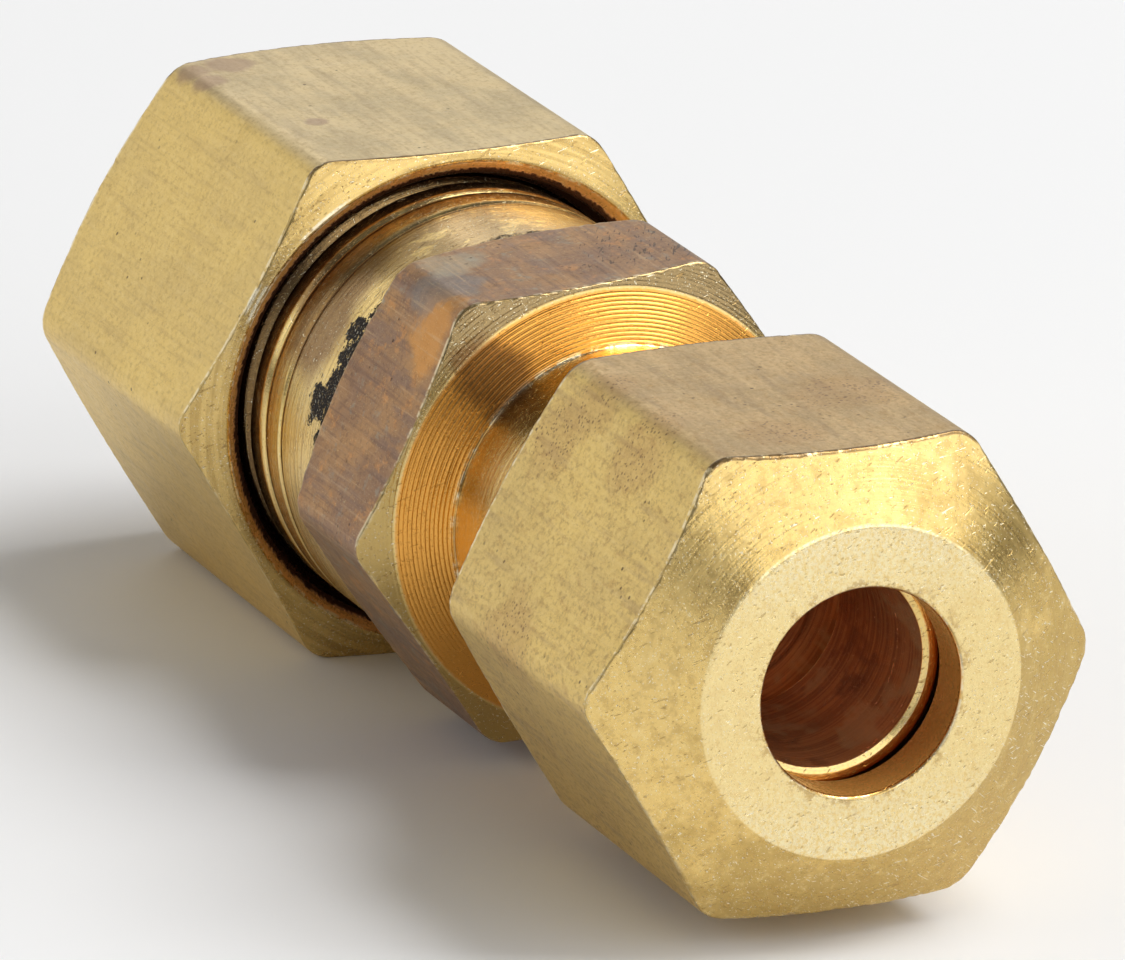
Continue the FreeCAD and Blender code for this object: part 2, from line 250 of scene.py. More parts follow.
class Outline:
    """One stretch of section: corners joined by straight runs, each corner rounded."""

    def __init__(self, x, r):
        self.xs, self.rs = [full(x)], [full(r)]
        self.roundings, self.wears = [0.0], [0.0]
        self.runs = []

    def to(self, x, r, rounding=0.03, wear=0.0, steps=2, turned=1.0, inside=0.0, ripple=None):
        """Adds a run to a new corner; ripple(s) lifts the run's own points."""
        self.xs.append(full(x))
        self.rs.append(full(r))
        self.roundings.append(rounding)
        self.wears.append(wear)
        self.runs.append((steps, turned, inside, ripple))

    def skin(self, skin):
        xs, rs = np.array(self.xs), np.array(self.rs)
        dx, dr = np.diff(xs, axis=0), np.diff(rs, axis=0)
        length = np.hypot(dx, dr) + 1e-9
        ux, ur = dx / length, dr / length
        cut = np.zeros_like(xs)
        for i in range(1, len(xs) - 1):
            cut[i] = np.minimum(self.roundings[i],
                                CORNER_SHARE * np.minimum(length[i - 1], length[i]))
        rows_x, rows_r, rows_m = [], [], []
        for i, (steps, turned, inside, ripple) in enumerate(self.runs):
            start, stop = cut[i], length[i] - cut[i + 1]
            for step in range(0 if i == 0 else 1, steps + 1):
                share = step / steps
                if steps < EVEN_STEPS:
                    share = 0.5 - 0.5 * math.cos(math.pi * share)
                s = start + (stop - start) * share
                lift = 0.0 if ripple is None else ripple(s)
                rows_x.append(xs[i] + ux[i] * s - ur[i] * lift)
                rows_r.append(rs[i] + ur[i] * s + ux[i] * lift)
                wear = np.maximum(
                    self.wears[i] * np.exp(-(s / WEAR_REACH) ** 2),
                    self.wears[i + 1] * np.exp(-((length[i] - s) / WEAR_REACH) ** 2))
                rows_m.append(np.stack([full(turned), wear, full(inside)], -1))
            if i + 1 < len(self.runs):
                c = i + 1
                _, next_turned, next_inside, _ = self.runs[c]
                before_x, before_r = xs[c] - ux[i] * cut[c], rs[c] - ur[i] * cut[c]
                after_x, after_r = xs[c] + ux[c] * cut[c], rs[c] + ur[c] * cut[c]
                for k in range(1, ARC_STEPS + 1):
                    t = k / ARC_STEPS
                    a, b, d = (1 - t) ** 2, 2 * t * (1 - t), t ** 2
                    rows_x.append(a * before_x + b * xs[c] + d * after_x)
                    rows_r.append(a * before_r + b * rs[c] + d * after_r)
                    rows_m.append(np.stack([
                        full(turned + (next_turned - turned) * t),
                        full(self.wears[c]),
                        full(inside + (next_inside - inside) * t)], -1))
        skin.band(np.array(rows_x), np.array(rows_r), np.array(rows_m))


# Thread sections as (distance from the middle, share of the depth)
GROOVE = ((0.0, 1.0), (0.045, 1.0), (0.075, 0.955), (0.18, 0.527), (0.285, 0.114),
          (0.314, 0.03), (0.345, 0.004), (0.42, 0.0))
RIDGE = ((0.0, 1.0), (0.046, 1.0), (0.168, 0.5), (0.289, 0.0), (0.4, 0.0))


def thread_band(skin, low, high, origin, section, radius, inside=0.0):
    """A threaded stretch of wall between two places on the axis.

    radius(x, share) is the wall's radius where the section has that share.
    """
    half = [distance for distance, share in section] + [PITCH / 2]
    places = sorted({-d for d in half[1:-1]} | set(half))
    first = math.floor((low - origin) / PITCH) - 2
    last = math.ceil((high - origin) / PITCH) + 1
    lines = np.array([turn * PITCH + place for turn in range(first, last + 1) for place in places])
    xs = origin + lines[:, None] + PITCH * THETA[None, :] / TURN
    distance = np.abs(np.mod(lines + PITCH / 2, PITCH) - PITCH / 2)
    share = np.interp(distance, [d for d, _ in section], [s for _, s in section])
    share = np.broadcast_to(share[:, None], xs.shape)
    xs = np.clip(xs, low, high)
    turned, edge = np.ones(xs.shape), np.zeros(xs.shape)
    marks = np.stack([turned, edge, np.full(xs.shape, inside)], -1)
    skin.band(xs, radius(xs, share), marks, skew=len(places))


# The pieces ------------------------------------------------------------------

class End:
    """Sizes of one end of the fitting; outward is the direction away from the body."""

    def __init__(self, name, outward, crest, nose, mouth, relief, thread_angle, seed):
        low, high = extent(name + "_nut")
        sleeve_low, sleeve_high = extent(name + "_sleeve")
        self.name = name
        self.seed = seed
        self.outward = outward
        self.flats = 2 * high.z
        self.corner = high.y
        self.mouth_x = min(abs(low.x), abs(high.x))
        self.nose_x = max(abs(low.x), abs(high.x))
        self.length = self.nose_x - self.mouth_x
        self.sleeve_in = min(abs(sleeve_low.x), abs(sleeve_high.x))
        self.sleeve_out = max(abs(sleeve_low.x), abs(sleeve_high.x))
        self.sleeve_radius = sleeve_high.z
        self.crest = crest
        self.tap = crest - GROOVE_DEPTH + ROOT_GAP
        self.nose = nose
        self.mouth = mouth
        self.relief = relief
        self.bore = mount_radius(name + "_nut_hole")
        self.socket = mount_radius(name + "_tube_socket")
        quarter_on = PITCH * (90 + thread_angle) / 360
        self.origin = outward * self.mouth_x + PITCH / 2 - quarter_on


LARGE = End("large", -1, crest=5.49, nose=4.5, mouth=6.16, relief=5.73, thread_angle=10.0, seed=11)
SMALL = End("small", 1, crest=4.72, nose=3.95, mouth=5.3, relief=4.86, thread_angle=0.0, seed=31)


def nut(end, material):
    """Compression nut, from the threaded mouth round the outside and back through the bore."""
    hexagon = np.minimum(hexagon_radius(end.flats), end.corner)
    tap_end = end.length - NOSE_WALL - (end.tap - end.bore)
    groove_floor = end.crest + CREST_GAP
    tap_start = RELIEF_DEPTH + end.relief - groove_floor
    lip = 0.06

    def along(local):
        return end.outward * (end.mouth_x + local)

    skin = Skin()
    outside = Outline(along(0), end.relief + FLARE)
    outside.to(along(0), end.mouth, 0.03, 1.0)
    outside.to(along((hexagon - end.mouth) * MOUTH_SLOPE), hexagon,
               worn_edge(end.seed, 0.05), 1.0, steps=6)
    outside.to(along(end.length - (hexagon - end.nose) * NOSE_SLOPE), hexagon,
               worn_edge(end.seed + 1, 0.06), 1.0, steps=16, turned=0.0)
    outside.to(along(end.length), end.nose, worn_edge(end.seed + 2, 0.06), 0.6, steps=14)
    outside.to(along(end.length), end.bore + lip, worn_edge(end.seed + 3, 0.05), 1.0, steps=8)
    outside.to(along(end.length - lip), end.bore, 0.04, 0.5, inside=LIP)
    outside.to(along(end.length - NOSE_WALL), end.bore, 0.03, 0.4, steps=6, inside=WALL)
    outside.to(along(tap_end), end.tap, steps=5, inside=WALL)
    outside.skin(skin)

    def ridged(x, share):
        """The thread, cut open by the cone of the mouth's relief and ending before the seat."""
        local = end.outward * x - end.mouth_x
        groove = (groove_floor - end.tap) * ease((tap_end - local) / THREAD_FADE)
        return np.maximum(end.tap + groove * (1 - share), groove_floor - (local - tap_start))

    low, high = sorted((along(tap_start), along(tap_end)))
    thread_band(skin, low, high, end.origin, RIDGE, ridged, THREAD_GAP)
    entry = Outline(along(tap_start), groove_floor)
    entry.to(along(RELIEF_DEPTH), end.relief, 0.03, 0.0, steps=4, inside=THREAD_GAP)
    entry.to(along(FLARE_DEPTH), end.relief, 0.03, 0.5, steps=3, inside=THREAD_GAP)
    entry.to(along(FLARE_DEPTH * 0.6), end.relief + FLARE * 0.4, 0, 0.0, inside=THREAD_GAP)
    entry.to(along(0), end.relief + FLARE, 0.03, 1.0, steps=4, inside=FLARED_WALL)
    entry.skin(skin)
    piece = skin.piece(end.name + "_nut_skin", material)
    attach(piece, end.name + "_nut")
    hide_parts(end.name + "_nut")
    return piece


def sleeve(end, material):
    """Loose sleeve: tapered towards the body, bevelled towards the nut."""
    bore = end.socket - SLEEVE_CLEARANCE
    tip = bore + SLEEVE_TIP_WALL
    taper = (end.sleeve_radius - tip) / TAN20
    length = end.sleeve_out - end.sleeve_in
    inner_chamfer = 0.1
    rim_back, rim_inner = RIM_SLOPE

    def along(local):
        return end.outward * (end.sleeve_in + local)

    skin = Skin()
    ring = Outline(along(inner_chamfer), bore)
    ring.to(along(0), bore + inner_chamfer, 0.02, 0.6)
    ring.to(along(0), tip, 0.02, 0.8)
    ring.to(along(taper), end.sleeve_radius, 0.1, 0.4, steps=6)
    ring.to(along(length - SLEEVE_BEVEL), end.sleeve_radius, 0.08, 0.3, steps=8)
    ring.to(along(length), bore + RIM_RADIUS, 0.05, 0.5, steps=6, inside=SHOULDER)
    ring.to(along(length - rim_back), bore + rim_inner, 0.02, 0.6, steps=3, inside=SHOULDER)
    ring.to(along(length - RIM_CHAMFER), bore, 0.02, 0.6, steps=3)
    ring.to(along(inner_chamfer), bore, steps=14, inside=BORED)
    ring.skin(skin)
    piece = skin.piece(end.name + "_sleeve_skin", material)
    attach(piece, end.name + "_sleeve")
    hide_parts(end.name + "_sleeve")
    return piece


def feed_marks(length, depth):
    """Fine rings that the lathe left on a face of that length."""
    def lift(s):
        fade = ease(s / RING_FADE) * ease((length - s) / RING_FADE)
        return -depth * (0.5 - 0.5 * np.cos(TURN * (length - s) / RING_PITCH)) ** 2 * fade
    return lift


def union_body(material):
    """Body, from the tip of its large stub along the outside and back through the bore."""
    low, high = extent("union_body")
    hexagon = hexagon_radius(BODY_FLATS, BODY_TURN)
    rear, front = HEX_MIDDLE - HEX_LENGTH / 2, HEX_MIDDLE + HEX_LENGTH / 2
    shank_start = rear - SHANK_LENGTH
    full_end = -LARGE.mouth_x - FULL_THREAD_INSIDE
    shoulder = front + SHOULDER_DEPTH
    neck_end = front + NECK_LENGTH
    rise = neck_end + SMALL.crest - NECK_RADIUS
    skin = Skin()

    def large_wall(x, share):
        """The large thread; its last turns run out, steeply at first and then slowly."""
        cone = LARGE.crest - THREAD_CHAMFER + (x - low.x)
        steep = ease((x - full_end) / STEEP_RUNOUT)
        slow = ease((x - full_end - STEEP_RUNOUT) / SLOW_RUNOUT)
        fading = STEEP_SHARE * steep + (1 - STEEP_SHARE) * slow
        depth = GROOVE_DEPTH * np.maximum(share - fading, 0)
        return np.minimum(LARGE.crest - depth, cone)

    thread_band(skin, low.x, shank_start, LARGE.origin, GROOVE, large_wall)
    chamfer_slant = (hexagon - RING_RADIUS) * math.hypot(1, TAN20)
    shoulder_slant = math.hypot(RING_RADIUS - NECK_RADIUS, shoulder - front)
    outside = Outline(shank_start, LARGE.crest)
    outside.to(rear, LARGE.crest, 0.05, 0.0, steps=10)
    outside.to(rear + (hexagon - LARGE.crest) * HEX_REAR_SLOPE, hexagon,
               worn_edge(71, 0.07), 0.7, steps=5)
    outside.to(front - (hexagon - RING_RADIUS) * TAN20, hexagon,
               worn_edge(72, 0.06), 0.9, steps=16, turned=0.0)
    outside.to(front, RING_RADIUS, 0.03, 0.6, steps=60,
               ripple=feed_marks(chamfer_slant, 0.4 * RING_DEPTH))
    outside.to(shoulder, NECK_RADIUS, 0.05, 1.0, steps=110, inside=SHOULDER,
               ripple=feed_marks(shoulder_slant, RING_DEPTH))
    outside.to(neck_end, NECK_RADIUS, 0.03, 0.0, steps=8)
    outside.to(rise, SMALL.crest, steps=3)
    outside.skin(skin)

    def small_wall(x, share):
        cone = SMALL.crest - THREAD_CHAMFER + (high.x - x)
        depth = GROOVE_DEPTH * share * ease((x - rise) / SMALL_RUNOUT)
        return np.minimum(SMALL.crest - depth, cone)

    thread_band(skin, rise, high.x, SMALL.origin, GROOVE, small_wall)
    large_stop, small_stop = low.x + LARGE_SOCKET_DEPTH, high.x - SMALL_SOCKET_DEPTH
    large_mouth = low.x + (LARGE_SEAT - LARGE.socket) / TAN30
    small_mouth = high.x - (SMALL_SEAT - SMALL.socket) / TAN30
    step_start = front + (LARGE_WATERWAY - SMALL_WATERWAY) * DRILL_POINT
    inner = Outline(high.x, SMALL.crest - THREAD_CHAMFER)
    inner.to(high.x, SMALL_SEAT, 0.04, 0.8, steps=4)
    inner.to(small_mouth, SMALL.socket, 0.03, steps=6, inside=BORED)
    inner.to(small_stop, SMALL.socket, 0.05, steps=8, inside=BORED)
    inner.to(small_stop, SMALL_WATERWAY, 0.05, 0.3, steps=4, inside=BORED)
    inner.to(step_start, SMALL_WATERWAY, steps=4, inside=BORED)
    inner.to(front, LARGE_WATERWAY, steps=3, inside=BORED)
    inner.to(large_stop, LARGE_WATERWAY, 0.05, 0.3, steps=6, inside=BORED)
    inner.to(large_stop, LARGE.socket, 0.05, steps=4, inside=BORED)
    inner.to(large_mouth, LARGE.socket, 0.03, steps=8, inside=BORED)
    inner.to(low.x, LARGE_SEAT, 0.04, 0.8, steps=6, inside=BORED)
    inner.to(low.x, LARGE.crest - THREAD_CHAMFER, steps=4)
    inner.skin(skin)
    piece = skin.piece("union_body_skin", material)
    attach(piece, "union_body")
    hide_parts("union_body")
    return piece


# Materials -------------------------------------------------------------------

class Metal:
    """Builds one worn brass material.  All its places and scales are in millimetres."""

    def __init__(self, name):
        self.material = bpy.data.materials.new(name)
        self.material.use_nodes = True
        self.tree = self.material.node_tree
        self.shader = self.tree.nodes["Principled BSDF"]
        place = self.node("ShaderNodeTexCoord").outputs["Object"]
        self.place = self.vector("MULTIPLY", place, (1 / MM,) * 3)
        split = self.node("ShaderNodeSeparateXYZ")
        self.put(split.inputs[0], self.place)
        self.x, self.y, self.z = split.outputs
        self.radius = self.math("SQRT", self.math(
            "ADD", self.math("MULTIPLY", self.y, self.y), self.math("MULTIPLY", self.z, self.z)))
        for mark in MARKS:
            node = self.node("ShaderNodeAttribute", attribute_name=mark)
            setattr(self, mark, node.outputs["Fac"])

    def node(self, kind, **settings):
        node = self.tree.nodes.new(kind)
        for key, setting in settings.items():
            setattr(node, key, setting)
        return node

    def put(self, socket, value):
        if isinstance(value, bpy.types.NodeSocket):
            self.tree.links.new(value, socket)
        elif isinstance(value, tuple) and len(value) == 3 and socket.type == "RGBA":
            socket.default_value = (*value, 1)
        else:
            socket.default_value = value

    def fill(self, kind, inputs, **settings):
        """A node with values or links on the inputs named."""
        node = self.node(kind, **settings)
        for key, value in inputs.items():
            self.put(node.inputs[key], value)
        return node

    def math(self, operation, *values):
        node = self.fill("ShaderNodeMath", dict(enumerate(values)), operation=operation)
        return node.outputs[0]

    def vector(self, operation, a, b):
        node = self.fill("ShaderNodeVectorMath", {0: a, 1: b}, operation=operation)
        return node.outputs["Value" if operation == "DISTANCE" else "Vector"]

    def join(self, x, y, z):
        return self.fill("ShaderNodeCombineXYZ", {0: x, 1: y, 2: z}).outputs[0]

    def noise(self, place, detail=2.0, roughness=0.5):
        return self.fill("ShaderNodeTexNoise", {
            "Vector": place, "Scale": 1.0, "Detail": detail, "Roughness": roughness,
        }, noise_dimensions="3D").outputs["Fac"]

    def stretched(self, sx, sy, sz, shift=0.0):
        """The place in the piece, scaled along each axis."""
        return self.vector("ADD", self.vector("MULTIPLY", self.place, (sx, sy, sz)),
                           (shift, shift * 0.7, -shift * 0.4))

    def ramp(self, value, low, high):
        """0 below low, 1 above high, smooth between; high may be the smaller."""
        limits = (low, high, 0, 1) if low < high else (high, low, 1, 0)
        inputs = dict(zip(("From Min", "From Max", "To Min", "To Max"), limits))
        node = self.fill("ShaderNodeMapRange", {"Value": value, **inputs},
                         interpolation_type="SMOOTHSTEP")
        return node.outputs["Result"]

    def mix(self, amount, first, second):
        node = self.fill("ShaderNodeMix", {0: amount, 6: first, 7: second}, data_type="RGBA")
        return node.outputs[2]

    def blend(self, amount, first, second):
        node = self.fill("ShaderNodeMix", {0: amount, 2: first, 3: second}, data_type="FLOAT")
        return node.outputs[0]

    def product(self, *values):
        result = values[0]
        for value in values[1:]:
            result = self.math("MULTIPLY", result, value)
        return result

    def scaled(self, value, factor, offset):
        """value * factor + offset; either of the last two may be a socket."""
        return self.math("MULTIPLY_ADD", value, factor, offset)

    def either(self, *masks):
        """The strongest of several masks."""
        result = masks[0]
        for mask in masks[1:]:
            result = self.math("MAXIMUM", result, mask)
        return result

    def layered(self, colour, *layers):
        """The colour under layers of (mask, strength, tone), the last one on top."""
        for mask, strength, tone in layers:
            colour = self.mix(self.product(mask, strength), colour, tone)
        return colour

    def outer(self, low):
        """1 on the turned faces in the open, 0 inside the fitting."""
        return self.product(self.turned, self.ramp(self.inside, low, 0.02))

    def patch(self, centre, radius, ragged=0.6, scale=0.8):
        """A ragged spot of that radius round a place."""
        far = self.vector("DISTANCE", self.place, centre)
        wandering = self.noise(self.stretched(scale, scale, scale, centre[0] * 3.1), 4.0, 0.65)
        off_middle = self.math("SUBTRACT", wandering, 0.5)
        far = self.math("ADD", far, self.math("MULTIPLY", off_middle, -2 * ragged * radius))
        return self.ramp(far, radius, radius * 0.55)

    def drawn_lines(self, fineness, shift=0.0, detail=3.0, along=0.22):
        """Streaks along the drawn bar."""
        return self.noise(self.stretched(along, fineness, fineness, shift), detail, 0.6)

    def turning_lines(self, fineness, shift=0.0, detail=2.0, around=0.25):
        """Arcs round the axis on the turned faces."""
        across = self.scaled(self.radius, fineness, shift)
        along = self.scaled(self.x, fineness, self.math("MULTIPLY", self.y, around))
        place = self.join(across, along, self.math("MULTIPLY", self.z, around))
        return self.noise(place, detail, 0.6)

    def scratches(self, angle, shift, width=26.0, length=0.9, rarity=0.7):
        """Thin straight scratches lying across the surface in one direction."""
        turned = self.fill("ShaderNodeVectorRotate", {"Vector": self.place, "Rotation": angle},
                           rotation_type="EULER_XYZ").outputs[0]
        place = self.vector("MULTIPLY", turned, (length, width, width))
        lines = self.noise(self.vector("ADD", place, (shift, shift, shift)), 1.0, 0.5)
        return self.ramp(lines, rarity, rarity + 0.05)

    def specks(self, scale, size, share, shift=0.0):
        """Small round pits: only a share of the cells holds one."""
        node = self.fill("ShaderNodeTexVoronoi", {
            "Vector": self.stretched(scale, scale, scale, shift), "Scale": 1.0})
        colour = self.fill("ShaderNodeSeparateColor", {0: node.outputs["Color"]})
        chosen = self.ramp(colour.outputs[0], 1 - share, 1 - share + 0.02)
        return self.product(self.ramp(node.outputs["Distance"], size, size * 0.6), chosen)

    def finish(self, colour, rough, film, height, depth):
        """Sets the shader; film is bare of metal, and depth is the relief's in millimetres."""
        bump = self.fill("ShaderNodeBump", {
            "Strength": 1.0, "Distance": depth * MM, "Height": height})
        for key, value in (("Base Color", colour), ("Roughness", rough),
                           ("Metallic", self.math("SUBTRACT", 1.0, film)),
                           ("Normal", bump.outputs[0])):
            self.put(self.shader.inputs[key], value)
        return self.material


CLEAN = (0.82, 0.585, 0.20)
PALE = (0.90, 0.70, 0.34)
CREAM = (0.97, 0.78, 0.38)
BRIGHT = (1.0, 0.93, 0.70)
AMBER = (0.77, 0.375, 0.078)
COPPER = (0.94, 0.47, 0.20)
# Painted shade: the near-black colour given to the nuts' inner thread and relief
GAP_SHADE = (0.10, 0.04, 0.02)
DARK = (0.07, 0.035, 0.02)
OLIVE = (0.55, 0.42, 0.20)
LARGE_TOP = (0.80, 0.63, 0.34)
SMALL_TOP = (0.70, 0.49, 0.235)


def turned_colour(metal, arcs, rings):
    """Clean turned brass, amber on the shoulder, copper in the bores, and painted shade, near
    black, in the thread's gap.
    """
    clouds = metal.noise(metal.stretched(0.45, 0.7, 0.7, 57.0), 3.0, 0.6)
    faces = metal.layered(
        CLEAN,
        (metal.ramp(arcs, 0.35, 0.7), 0.5, PALE),
        (metal.ramp(rings, 0.52, 0.72), 0.3, OLIVE))
    bores = metal.layered(
        metal.mix(metal.ramp(rings, 0.4, 0.6), COPPER, (0.62, 0.31, 0.14)),
        (metal.ramp(clouds, 0.54, 0.64), 0.6, (0.34, 0.15, 0.08)),
        (metal.ramp(clouds, 0.46, 0.36), 0.7, (0.95, 0.66, 0.34)))
    faces = metal.mix(metal.ramp(metal.inside, 0.0, SHOULDER), faces, AMBER)
    faces = metal.mix(metal.ramp(metal.inside, SHOULDER, BORED), faces, bores)
    # Painted shade: the nuts' inner thread and relief are coloured near black
    return metal.mix(metal.ramp(metal.inside, BORED, 1.9), faces, GAP_SHADE)


def brass(name, flats, flat_rough=0.42, turned_rough=0.3, pits=0.1, extra=None):
    """Brass bar, drawn on its flats and turned elsewhere.

    flats(metal, fine, grain) gives the colour of the drawn flats, and
    extra(metal, colour) adds marks of the piece's own and returns (colour, grime).
    """
    metal = Metal(name)
    fine = metal.drawn_lines(7.0, along=0.3)
    grain = metal.noise(metal.stretched(7.0, 8.0, 8.0, 1.0), 3.0, 0.65)
    rings = metal.turning_lines(13.0)
    arcs = metal.turning_lines(2.6, 5.0)
    patches = metal.noise(metal.stretched(0.7, 0.7, 0.7, 21.0), 3.0, 0.6)
    flecks = metal.noise(metal.stretched(4.5, 4.5, 4.5, 33.0), 3.0, 0.7)
    clusters = metal.noise(metal.stretched(0.45, 0.45, 0.45, 11.0), 2.0, 0.5)

    pitted = metal.product(
        metal.specks(5.5, 0.3, pits),
        metal.scaled(metal.ramp(clusters, 0.5, 0.62), 0.9, 0.1),
        metal.blend(metal.turned, 1.0, 0.3))
    gouged = metal.either(
        metal.scratches((0.8, -1.1, 0.3), 51.0, 13.0, 1.5, 0.69),
        metal.scratches((-0.4, 0.2, 1.9), 61.0, 17.0, 2.0, 0.70))
    scored = metal.either(
        metal.scratches((0.3, 0.5, 0.9), 3.0),
        metal.scratches((1.1, -0.4, -0.6), 9.0),
        metal.scratches((-0.7, 0.9, 0.2), 14.0, 20.0, 1.4, 0.7),
        metal.scratches((0.1, -0.9, 1.2), 24.0, 16.0, 1.6, 0.71))
    hatched = metal.either(
        metal.scratches((0.5, 0.9, 0.4), 71.0, 30.0, 0.8, 0.66),
        metal.scratches((-0.3, 0.6, -0.8), 83.0, 34.0, 0.9, 0.66))
    rubbed = metal.scaled(flecks, 0.6, metal.math("MULTIPLY", patches, 0.4))
    # Edges rubbed bright, and a painted highlight along them standing in for glints
    worn_and_glints = metal.product(metal.ramp(metal.edge, 0.5, 0.9), metal.ramp(rubbed, 0.46, 0.56))
    crease = metal.product(metal.ramp(metal.edge, 0.86, 0.98), metal.ramp(patches, 0.54, 0.44))

    colour = turned_colour(metal, arcs, rings)
    if flats:
        colour = metal.mix(metal.turned, flats(metal, fine, grain), colour)
    colour = metal.layered(
        colour,
        (pitted, 0.7, DARK),
        (scored, metal.blend(metal.turned, 0.25, 0.0), CREAM),
        (worn_and_glints, 0.8, (1.0, 0.88, 0.60)),
        (crease, 0.45, DARK))
    grime = None
    if extra:
        colour, grime = extra(metal, colour)
    in_open = metal.product(metal.turned, metal.ramp(metal.inside, 0.4, 0.1))
    colour = metal.layered(
        colour,
        (metal.product(hatched, in_open), 0.45, (0.62, 0.43, 0.17)),
        (metal.product(scored, in_open), 0.75, BRIGHT),
        (metal.product(gouged, in_open), 0.5, (0.42, 0.26, 0.09)))

    on_walls = metal.product(
        metal.ramp(metal.inside, 0.52, 0.6), metal.ramp(metal.inside, 0.95, 0.75))
    film = metal.either(
        metal.product(on_walls, 0.6),
        metal.product(metal.ramp(metal.inside, 0.8, 0.95), 0.38))
    rough = metal.blend(metal.turned, flat_rough, turned_rough)
    for texture in (grain, arcs):
        rough = metal.math("ADD", rough, metal.scaled(texture, 0.16, -0.08))
    if grime is not None:
        rough = metal.blend(grime, rough, 0.85)
        film = metal.either(film, metal.product(grime, 0.9))
    relief = metal.blend(metal.turned, metal.math("MULTIPLY", fine, 0.5), rings)
    for texture, height in ((grain, 0.6), (pitted, -1.2), (scored, -0.5), (gouged, -0.7)):
        relief = metal.scaled(texture, height, relief)
    return metal.finish(colour, rough, film, relief, 0.008)


def nut_flats(half, top, blotching, streaking, grit):
    """Flats of a nut; the top one has a duller skin with stains drawn out along the bar."""

    def colour(metal, fine, grain):
        cloud = metal.noise(metal.stretched(0.3, 0.4, 0.4, 3.0), 4.0, 0.6)
        streaks = metal.drawn_lines(2.4, 7.0, along=0.3)
        blotches = metal.noise(metal.stretched(2.0, 4.2, 4.2, 17.0), 6.0, 0.78)
        darkened = metal.math("ADD", cloud, metal.scaled(streaks, 0.5, -0.25))
        shade = metal.mix(metal.ramp(cloud, 0.35, 0.7), (0.83, 0.60, 0.20), (0.74, 0.535, 0.19))
        upper = metal.mix(metal.ramp(darkened, 0.35, 0.68), top, tuple(0.78 * c for c in top))
        shade = metal.mix(metal.ramp(metal.z, half - 0.25, half - 0.02), shade, upper)
        return metal.layered(
            shade,
            (metal.ramp(blotches, 0.5, 0.68), blotching, (0.50, 0.29, 0.09)),
            (metal.ramp(streaks, 0.54, 0.7), streaking, (0.40, 0.26, 0.13)),
            (metal.ramp(fine, 0.5, 0.7), 0.22, (0.45, 0.30, 0.12)),
            (metal.ramp(fine, 0.46, 0.32), 0.12, PALE),
            (metal.ramp(grain, 0.48, 0.34), 0.12, CREAM),
            (metal.ramp(grain, 0.5, 0.68), grit, (0.42, 0.28, 0.11)))

    return colour


def body_flats(metal, fine, grain):
    """The body's hexagon kept the brown skin of the bar."""
    cloud = metal.noise(metal.stretched(0.5, 0.6, 0.6, 3.0), 5.0, 0.65)
    streaks = metal.drawn_lines(1.9, 7.0, along=0.35)
    blotches = metal.noise(metal.stretched(1.3, 1.6, 1.6, 27.0), 5.0, 0.7)
    scars = metal.product(
        metal.patch((0.8, 2.0, 5.4), 2.2), metal.scratches((0.2, 0.1, 0.5), 31.0, 14.0, 0.5, 0.62))
    return metal.layered(
        metal.mix(metal.ramp(cloud, 0.36, 0.64), (0.47, 0.265, 0.115), (0.33, 0.19, 0.105)),
        (metal.ramp(streaks, 0.5, 0.66), 0.75, (0.27, 0.17, 0.12)),
        (metal.ramp(blotches, 0.54, 0.68), 0.7, (0.62, 0.30, 0.10)),
        (metal.ramp(blotches, 0.44, 0.34), 0.6, (0.34, 0.31, 0.24)),
        (metal.ramp(fine, 0.52, 0.68), 0.45, (0.18, 0.10, 0.07)),
        (metal.ramp(grain, 0.52, 0.66), 0.4, (0.20, 0.12, 0.08)),
        (metal.patch((1.5, -4.0, 4.5), 1.3), 0.75, (0.72, 0.34, 0.08)),
        (metal.patch((0.6, -3.5, 5.3), 1.2, 1.0), 0.6, (0.24, 0.22, 0.20)),
        (metal.patch((-0.6, -2.6, 5.6), 1.0, 1.0), 0.5, (0.46, 0.42, 0.30)),
        (scars, 0.8, (0.08, 0.045, 0.03)),
        (metal.ramp(fine, 0.44, 0.3), 0.3, (0.72, 0.50, 0.28)))


